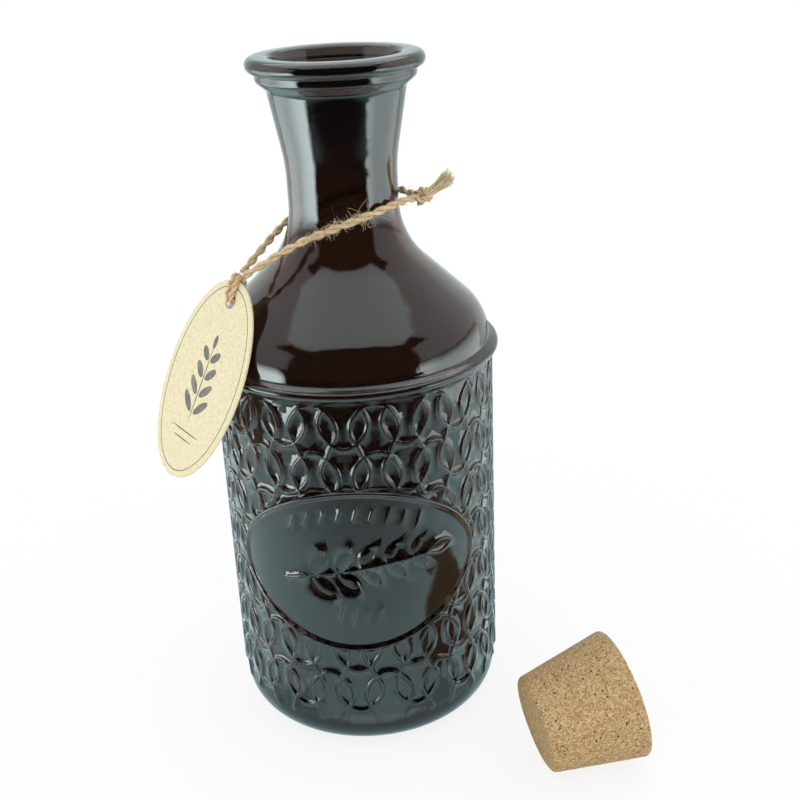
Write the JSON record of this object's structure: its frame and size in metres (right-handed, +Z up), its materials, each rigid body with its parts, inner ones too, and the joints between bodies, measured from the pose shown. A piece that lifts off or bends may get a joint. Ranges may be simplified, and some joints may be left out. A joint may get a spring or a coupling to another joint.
{
  "type": "glass bottle",
  "caption": "Tall moulded amber glass bottle with an embossed body, flared neck, tapered cork, twine loop and oval swing tag.",
  "frame": {"origin": "centre of the bottle's foot, on the table", "axes": "+Z up the bottle's axis and out of its mouth; the oval panel faces about -Y; +X to the cork's side"},
  "size_m": [0.1671, 0.1323, 0.2446],
  "materials": {
    "amber_glass": "polished",
    "cork": "matte",
    "kraft_card": "matte",
    "jute_twine": "matte"
  },
  "bodies": {
    "bottle": {"glass_bottle": "amber_glass"},
    "stopper": {"cork_stopper": "cork"},
    "twine": {"twine_front_strand": "jute_twine", "twine_back_strand": "jute_twine", "twine_knot": "jute_twine", "twine_tassel": "jute_twine"},
    "tag": {"swing_tag": "kraft_card", "tag_hitch": "jute_twine"}
  },
  "joints": [
    {"name": "twine_turn", "type": "hinge", "parent": "bottle", "child": "twine", "pos_m": [0, 0, 0.19], "axis": [0, 0, 1], "continuous": true},
    {"name": "tag_swing", "type": "hinge", "parent": "twine", "child": "tag", "pos_m": [-0.03729, -0.01459, 0.17301], "axis": [-0.57, 0.8185, 0.0718], "range_deg": [0, 60]},
    {"name": "stopper_lift", "type": "slide", "parent": "bottle", "child": "stopper", "axis": [0, 0, 1], "range_m": [0, 0.06]}
  ]
}
